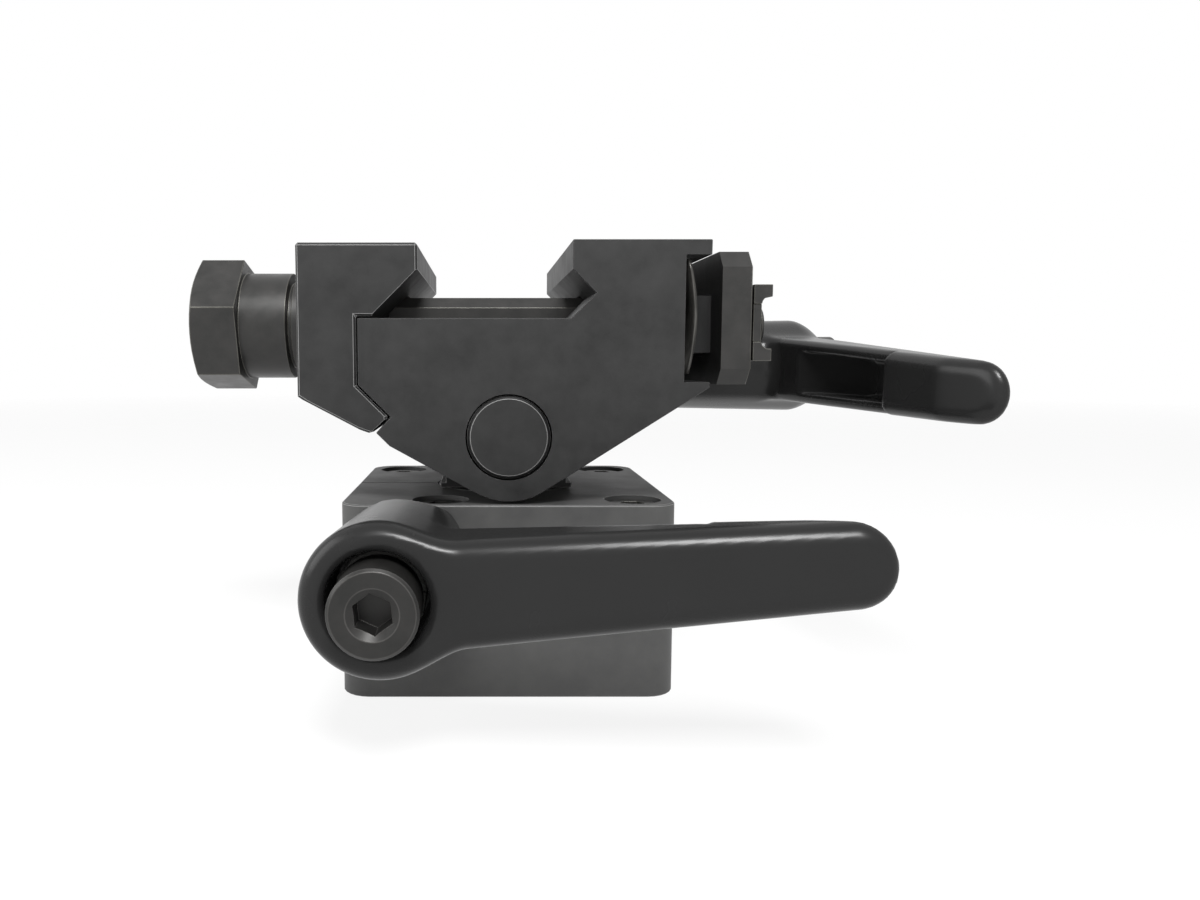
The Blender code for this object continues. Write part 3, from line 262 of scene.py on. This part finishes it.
def machined(node, body, look, edgeHighlightLook, edge, snug, inner):
    # a milled or turned piece: its edges are broken by a hair, and a painted highlight shows on them
    piece = weldedCopy(node, node + "_finished")
    piece.data.set_sharp_from_angle(angle=creaseAngle)
    piece.data.materials.clear()
    for each in (look, edgeHighlightLook, innerPaintedShade):
        piece.data.materials.append(each)
    # where there is an inner place, what lies to the left of it gets no lighter edges and takes a darker copy of
    # the look, painted shade
    work = bmesh.new()
    work.from_mesh(piece.data)
    weight = work.edges.layers.float.new("bevel_weight_edge")
    for rim in work.edges:
        hidden = inner is not None and min(v.co.x for v in rim.verts) < inner
        if rim.is_manifold and rim.calc_face_angle(0) > creaseAngle and not hidden:
            rim[weight] = 1.0
    # faces on the spring side take the painted shade
    for face in work.faces:
        if inner is not None and face.calc_center_median().x < inner:
            face.material_index = 2
    work.to_mesh(piece.data)
    work.free()
    # the solids stand 0.3 mm apart; the real fits are closer, so the skin grows by a hair
    grow = piece.modifiers.new("grow", "DISPLACE")
    grow.strength = snug
    grow.mid_level = 0
    breakEdges(piece, edge, "WEIGHT")
    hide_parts(node)
    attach(piece, body)


print("machined pieces")
# body, look, lighter look of the edges with a painted highlight, and the edges' round in millimetres
machinedSet = {
    "base_housing": ("base", basePalerDyeAndPaintedBounce, bodyEdgeHighlight, 0.10),
    "base_bottom_plate": ("base", basePalerDyeAndPaintedBounce, bodyEdgeHighlight, 0.10),
    "pan_post": ("post", bodyBlack, bodyEdgeHighlight, 0.10),
    "clamp_body": ("clamp", bodyBlack, bodyEdgeHighlight, 0.09),
    "moving_jaw": ("jaw", bodyBlack, bodyEdgeHighlight, 0.09),
    "tilt_shaft": ("post", bodyBlack, bodyEdgeHighlight, 0.06),
    "clamp_nut": ("nut", steelBlack, steelEdgeHighlight, 0.10),
    "cross_bolt": ("bolt", steelBlack, steelEdgeHighlight, 0.08),
    "pressure_plate": ("bolt", steelBlack, steelEdgeHighlight, 0.10),
    "pan_lever_screw": ("pan_lever_stem", screwBlack, screwEdgeHighlight, 0.10),
    "tilt_lever_screw": ("tilt_lever_stem", screwBlack, screwEdgeHighlight, 0.10),
}
machinedSet.update({f"base_screw_{i}": ("base", steelBlack, steelEdgeHighlight, 0.06) for i in range(1, 5)})
skinGrowth = 0.08 * mm
closeFitted = ("clamp_nut", "cross_bolt")  # with a grown skin these would touch as they move
plateSkin = 3.0 * mm  # from the plate's outer face to where its spring side begins
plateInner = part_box("pressure_plate")[1][0] - plateSkin
for node, (body, look, edgeHighlightLook, edge) in machinedSet.items():
    machined(node, body, look, edgeHighlightLook, edge * mm, snug=0 if node in closeFitted else skinGrowth,
             inner=plateInner if node == "pressure_plate" else None)

print("bolt keeper")
# millimetres: two ribs with a web between them, and the bolt's round end proud of the web
keeperSet = {
    "rib": 1.3, "fillet": 0.75, "inset": 1.1, "step": 0.15, "edge": 0.08, "corners": 6,
    "endFrom": 26.0, "endProud": 1.9,
}


def makeKeeper(s):
    low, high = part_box("bolt_keeper")
    middleZ = (low.z + high.z) / 2
    half, rib, fillet = high.z - middleZ, s["rib"] * mm, s["fillet"] * mm
    webRight = high.x - s["inset"] * mm
    work = bmesh.new()

    def along(outline, start, end, side):
        # a section in X and Z drawn out along Y; side is 1 for the upper rib, -1 for the lower
        front = [work.verts.new((x, start, middleZ + side * z)) for x, z in outline]
        back = [work.verts.new((x, end, middleZ + side * z)) for x, z in outline]
        work.faces.new(front)
        work.faces.new(back[::-1])
        for i in range(len(outline)):
            j = (i + 1) % len(outline)
            work.faces.new((front[j], front[i], back[i], back[j]))

    # each rib has a fillet towards the web
    lip = half - rib - fillet
    ribOutline = [(low.x, lip)]
    for step in range(s["corners"] + 1):
        turn = math.pi - step * math.pi / 2 / s["corners"]
        ribOutline.append((webRight + fillet * (1 + math.cos(turn)), lip + fillet * math.sin(turn)))
    ribOutline += [(high.x, half - rib), (high.x, half), (low.x, half)]
    along(ribOutline, low.y, high.y, 1)
    along(ribOutline, low.y, high.y, -1)
    along([(low.x, -lip), (webRight, -lip), (webRight, lip), (low.x, lip)], low.y + s["step"] * mm, high.y, 1)
    bmesh.ops.remove_doubles(work, verts=work.verts, dist=weldReach)
    bmesh.ops.recalc_face_normals(work, faces=work.faces)
    for face in work.faces:
        face.smooth = True
    mesh = bpy.data.meshes.new("bolt_keeper_finished")
    work.to_mesh(mesh)
    work.free()
    mesh.set_sharp_from_angle(angle=creaseAngle)
    mesh.materials.append(steelBlack)
    # the second slot is the lighter copy: painted highlight on the broken edges
    mesh.materials.append(steelEdgeHighlight)
    piece = newObject("bolt_keeper_finished", mesh)
    breakEdges(piece, s["edge"] * mm, "ANGLE")
    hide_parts("bolt_keeper")
    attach(piece, "bolt")


makeKeeper(keeperSet)
# the photograph shows the end of the bolt standing further out than the solid's
for point in bpy.data.objects["cross_bolt_finished"].data.vertices:
    if point.co.x > keeperSet["endFrom"] * mm:
        point.co.x += keeperSet["endProud"] * mm

print("lever handles")
# millimetres, in the lever's own frame: the hub stands along +Z from its seat, the arm runs along +X
handleSet = {
    "low": (-7.6, -7.6, -0.2), "high": (43.0, 7.6, 24.9), "step": 0.24,
    # the hub, a cone with a rounded rim
    "hubFoot": 6.05, "hubTop": 6.95, "skirt": 0.4, "height": 19.2, "rim": 1.7,
    # the arm from above, and its top, which rises a little and eases from the hub's rim to its own edge
    "length": 42.6, "rootHalf": 5.0, "tipHalf": 3.55, "rootFillet": 1.6,
    "rise": 0.12, "riseBlend": 1.5, "edge": 1.9, "easeFrom": 1, "easeOver": 13,
    # its underside, up to the step before the finger tip and the slope after it
    "under": 10.8, "underRise": 0.27, "underEdge": 0.9, "hubClear": 1.2, "hubRound": 1.5,
    "tipStart": 28.2, "tipDrop": 1.2, "dropOver": 0.7, "slopeStart": 36.2, "slope": 0.56, "slopeBlend": 0.12,
    "tipEdge": 1.5, "tipEdgeAhead": 0.5, "tipEdgeOver": 1.5,
    # the hollow under the arm
    "hollowStart": 12.0, "hollowRamp": 9.0, "wall": 1.3, "roof": 1.8,
    "roofRound": 0.8, "hollowEndRound": 0.6, "hollowMouth": 0.3,
    # the screw's well, the eye in its shelf, and the toothed socket
    "well": 4.5, "wellMouth": 0.7, "shelfTop": 12.0, "shelfBottom": 10.4, "eye": 2.7,
    "socket": 4.75, "teeth": 14, "toothTop": 4.55, "toothRoot": 3.9, "toothLength": 3.0,
    "toothShare": 0.3, "flankShare": 0.2,
}
# the second lever's hub is slimmer and its arm narrower, as far as the photograph shows it
tiltHandleSet = dict(handleSet, length=42.3, hubFoot=5.75, hubTop=6.05, rim=3.0, rootHalf=4.2, tipHalf=3.0)
panTip, tiltTip = math.radians(6.0), math.radians(3.2)


def roundBoth(a, b, radius):
    # where both shapes are, with the edge between them rounded; a and b are distances, negative inside
    reach = np.hypot(np.maximum(radius + a, 0), np.maximum(radius + b, 0))
    return np.minimum(-radius, np.maximum(a, b)) + reach


def roundEither(a, b, radius):
    # either shape, with the inner corner between them filled
    return -roundBoth(-a, -b, radius)


def handleDistance(x, y, z, s):
    # how far each point is from the skin of the handle, negative inside
    rho = np.hypot(x, y)
    climb = np.clip((z - s["skirt"]) / (s["height"] - s["rim"] - s["skirt"]), 0, 1)
    hub = rho - (s["hubFoot"] + (s["hubTop"] - s["hubFoot"]) * climb)
    tipCentre = s["length"] - s["tipHalf"]
    half = s["rootHalf"] + (s["tipHalf"] - s["rootHalf"]) * np.clip(x, 0, tipCentre) / s["length"]
    arm = np.where(x < tipCentre, np.abs(y) - half, np.hypot(x - tipCentre, y) - half)
    plan = roundEither(hub, np.maximum(arm, -x), s["rootFillet"])
    top = s["height"] + s["rise"] * s["riseBlend"] * np.log1p(np.exp(x / s["riseBlend"]))
    ease = np.clip((x - s["easeFrom"]) / s["easeOver"], 0, 1)
    skin = roundBoth(plan, z - top, s["rim"] + (s["edge"] - s["rim"]) * ease * ease * (3 - 2 * ease))

    # the arm's underside, which steps out and then slopes up at the finger tip
    rims = s["under"] + s["underRise"] * x
    block = rims - s["tipDrop"] * np.clip((x - s["tipStart"]) / s["dropOver"], 0, 1)
    ramp = s["under"] - s["tipDrop"] + s["underRise"] * s["slopeStart"] + (x - s["slopeStart"]) * s["slope"]
    under = (block + ramp + np.hypot(block - ramp, s["slopeBlend"])) / 2
    towardsTip = np.clip((x - s["tipStart"] + s["tipEdgeAhead"]) / s["tipEdgeOver"], 0, 1)
    underRound = s["underEdge"] + (s["tipEdge"] - s["underEdge"]) * towardsTip
    skin = roundBoth(skin, roundEither(under - z, hub - s["hubClear"], s["hubRound"]), underRound)

    # the hollow under the arm, which runs out towards the hub
    roof = top - s["roof"]
    runOut = s["hollowStart"] + s["hollowRamp"] * np.clip((z - rims) / (roof - rims), 0, 1)
    hollow = roundBoth(np.abs(y) - half + s["wall"], z - roof, s["roofRound"])
    hollow = roundBoth(hollow, np.maximum(x - s["tipStart"], runOut - x), s["hollowEndRound"])
    skin = roundBoth(skin, -hollow, s["hollowMouth"])

    # the well for the screw and its spring, the eye in its shelf, and the toothed socket below
    well = np.maximum(rho - s["well"], s["shelfTop"] - z)
    skin = roundBoth(skin, -well, s["wellMouth"])
    share = np.mod(np.arctan2(y, x) * s["teeth"] / (2 * np.pi), 1)
    flanks = np.minimum((share - s["toothShare"]) / s["flankShare"], (1 - share) / s["flankShare"])
    toothed = rho - s["toothTop"] + (s["toothTop"] - s["toothRoot"]) * np.clip(flanks, 0, 1)
    socket = np.minimum(np.maximum(toothed, z - s["shelfBottom"]),
                        np.maximum(rho - s["socket"], z - s["shelfBottom"] + s["toothLength"]))
    inner = np.minimum(rho - s["eye"], socket)
    return np.maximum(np.maximum(skin, -inner), s["skirt"] - z)


def skinFrom(distance, low, high, step):
    # a mesh of quads on the surface where the distance is nought, one point in each grid cell that it crosses
    axes = [np.arange(low[i], high[i] + step, step) for i in range(3)]
    field = distance(axes[0][:, None, None], axes[1][None, :, None], axes[2][None, None, :]).astype("f4")
    inside = field < 0
    count = [n - 1 for n in field.shape]
    corners = [(i, j, k) for i in (0, 1) for j in (0, 1) for k in (0, 1)]
    full = sum(inside[i:i + count[0], j:j + count[1], k:k + count[2]].astype("i1") for i, j, k in corners)
    cells = np.argwhere((full > 0) & (full < 8))
    number = np.full(count, -1, "i4")
    number[tuple(cells.T)] = np.arange(len(cells))

    # a cell's point is the mean of where the surface crosses its twelve edges
    total = np.zeros((len(cells), 3))
    hits = np.zeros((len(cells), 1))
    for start in corners:
        for axis in range(3):
            if start[axis]:
                continue
            end = np.array(start)
            end[axis] = 1
            a = field[tuple((cells + start).T)]
            b = field[tuple((cells + end).T)]
            cross = (a < 0) != (b < 0)
            share = np.where(cross, a / np.where(cross, a - b, 1), 0)
            point = np.array(start) + share[:, None] * (end - np.array(start))
            total += point * cross[:, None]
            hits += cross[:, None]
    points = (cells + total / hits) * step + np.array(low)

    # each grid edge that the surface crosses gives a quad of the four cells round it
    quads = []
    for axis in range(3):
        u, v = (axis + 1) % 3, (axis + 2) % 3
        a = np.take(inside, range(count[axis]), axis=axis)
        b = np.take(inside, range(1, count[axis] + 1), axis=axis)
        at = np.argwhere(a != b)
        at = at[(at[:, u] > 0) & (at[:, v] > 0) & (at[:, u] < count[u]) & (at[:, v] < count[v])]
        ring = []
        for du, dv in ((-1, -1), (0, -1), (0, 0), (-1, 0)):
            cell = at.copy()
            cell[:, u] += du
            cell[:, v] += dv
            ring.append(number[tuple(cell.T)])
        ring = np.stack(ring, 1)
        outward = a[tuple(at.T)]
        quads.append(np.where(outward[:, None], ring, ring[:, ::-1]))
    return points, np.concatenate(quads)


def castHandle(node, body, joint, axis, arm, s):
    # a die casting: every corner runs into the next with a small radius
    seat = np.array(next(j for j in frame["record"]["behaviour"]["joints"] if j["name"] == joint)["pos_m"])
    axis, arm = np.array(axis, float), np.array(arm, float)
    turn = np.stack([arm, np.cross(axis, arm), axis])
    points, quads = skinFrom(lambda x, y, z: handleDistance(x, y, z, s), s["low"], s["high"], s["step"])
    mesh = bpy.data.meshes.new(node + "_cast")
    mesh.from_pydata((points * mm @ turn + seat).tolist(), [], quads.tolist())
    for face in mesh.polygons:
        face.use_smooth = True
    mesh.materials.append(leverBlack)
    piece = newObject(node + "_cast", mesh)
    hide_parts(node)
    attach(piece, body)


castHandle("pan_lever_handle", "pan_lever_grip", "pan_lever_turn", (0, -1, 0),
           (math.cos(panTip), 0, math.sin(panTip)), handleSet)
castHandle("tilt_lever_handle", "tilt_lever_grip", "tilt_lever_turn", (1, 0, 0),
           (0, -math.cos(tiltTip), -math.sin(tiltTip)), tiltHandleSet)

print("springs")
# each spring's body, joint, the joint's travel, the axis, the end that stays (corner 0 or 1 of its box) and its
# look; the springs are copied whole and keep their length
springSet = {
    "pan_lever_spring": ("pan_lever_stem", "pan_lever_lift", 3.0 * mm, (0, 1, 0), 0, springPaintedFill),
    "tilt_lever_spring": ("tilt_lever_stem", "tilt_lever_lift", 3.0 * mm, (1, 0, 0), 1, springPaintedFill),
    "leaf_spring": ("clamp", "bolt_slide", 0.6 * mm, (1, 0, 0), 0, springGrey),
}
for node, (body, joint, travel, axis, end, look) in springSet.items():
    piece = weldedCopy(node, node + "_sprung")
    piece.data.materials.clear()
    piece.data.materials.append(look)
    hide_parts(node)
    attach(piece, body)
    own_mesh(piece)

print("pieces that keep their solids")
keptSet = {
    springGrey: ["jaw_spring_1", "jaw_spring_2", "jaw_guide_pin_1", "jaw_guide_pin_2", "tilt_shaft_pin"],
    steelBlack: ["tripod_thread_bush", "pan_washer", "pan_post_screw", "pan_lever_core", "tilt_lever_core"],
    nylonCream: ["pan_thrust_ring"],
}
for look, nodes in keptSet.items():
    for node in nodes:
        mesh = frame["nodes"][node].data
        mesh.materials.clear()
        mesh.materials.append(look)

print("floor and light")
stageSet = {
    "floorRadius": 0.9, "floorCorners": 96, "fade": (0.25, 0.8), "white": hexLinear("#ffffff"),
    "glow": 0.85, "room": 0.25,
}


def addSeen(tree):
    # 1 for rays from the camera, from a reflection or through something clear, 0 for the light that falls on things
    paths = addNode(tree, "ShaderNodeLightPath")
    shiny = addNode(tree, "ShaderNodeMath", {"operation": "MAXIMUM"},
                    {0: (paths, "Is Glossy Ray"), 1: (paths, "Is Transmission Ray")})
    return addNode(tree, "ShaderNodeMath", {"operation": "MAXIMUM"},
                   {0: (paths, "Is Camera Ray"), 1: (shiny, "Value")})


# white paper that fades into the white world well away from the head
bpy.ops.mesh.primitive_circle_add(vertices=stageSet["floorCorners"], radius=stageSet["floorRadius"],
                                  fill_type="NGON", location=(0, 0, 0))
floor = bpy.context.object
floor.name = "floor"
floorLook, tree, output = newMaterial("pale_floor")
place = addNode(tree, "ShaderNodeTexCoord")
reach = addNode(tree, "ShaderNodeVectorMath", {"operation": "LENGTH"}, {0: (place, "Object")})
fade = addRange(tree, (reach, "Value"), stageSet["fade"], start=0.0, end=1.0)
paper = addNode(tree, "ShaderNodeBsdfDiffuse", {"Color": stageSet["white"]})
# the camera sees the paper partly lit from within, which leaves a faint shadow under the head
glow = addNode(tree, "ShaderNodeEmission", {"Color": stageSet["white"], "Strength": 1.0})
share = addNode(tree, "ShaderNodeMath", {"operation": "MULTIPLY", 1: stageSet["glow"]},
                {0: (addSeen(tree), "Value")})
lit = addNode(tree, "ShaderNodeMixShader", None, {0: (share, "Value"), 1: (paper, "BSDF"), 2: (glow, "Emission")})
clear = addNode(tree, "ShaderNodeBsdfTransparent")
blend = addNode(tree, "ShaderNodeMixShader", None, {0: (fade, "Result"), 1: (lit, "Shader"), 2: (clear, "BSDF")})
tree.links.new(blend.outputs["Shader"], output.inputs["Surface"])
floor.data.materials.append(floorLook)

# the world is white to look at and dimmer as a light
world = bpy.data.worlds.new("studio")
world.use_nodes = True
scene.world = world
tree = world.node_tree
tree.nodes.clear()
output = addNode(tree, "ShaderNodeOutputWorld")
room = addNode(tree, "ShaderNodeBackground", {"Color": stageSet["white"], "Strength": stageSet["room"]})
white = addNode(tree, "ShaderNodeBackground", {"Color": stageSet["white"], "Strength": 1.0})
mix = addNode(tree, "ShaderNodeMixShader", None,
              {0: (addSeen(tree), "Value"), 1: (room, "Background"), 2: (white, "Background")})
tree.links.new(mix.outputs["Shader"], output.inputs["Surface"])

# the key above the camera makes the highlights along the upper edges, the left one shows the sides that face it,
# and the plain front fill, which casts no shadow or highlight, opens the gaps and hollows
lightAim = Vector((0, 0, 0.03))
lightSet = {
    "key_softbox": {"place": (0.02, -0.34, 0.42), "size": 0.15, "power": 3.3},
    "left_softbox": {"place": (-0.55, -0.1, 0.3), "size": 0.4, "power": 1.7},
    "front_fill": {"place": (-0.3, -0.62, 0.2), "size": 0.5, "power": 1.35, "plain": True},
}
for name, values in lightSet.items():
    data = bpy.data.lights.new(name, "AREA")
    data.shape = "SQUARE"
    data.size = values["size"]
    data.energy = values["power"]
    lamp = newObject(name, data)
    lamp.location = values["place"]
    aim = lightAim - Vector(values["place"])
    lamp.rotation_euler = aim.to_track_quat("-Z", "Y").to_euler()
    if values.get("plain"):
        data.use_shadow = False
        lamp.visible_glossy = False

scene.view_settings.view_transform = "Standard"
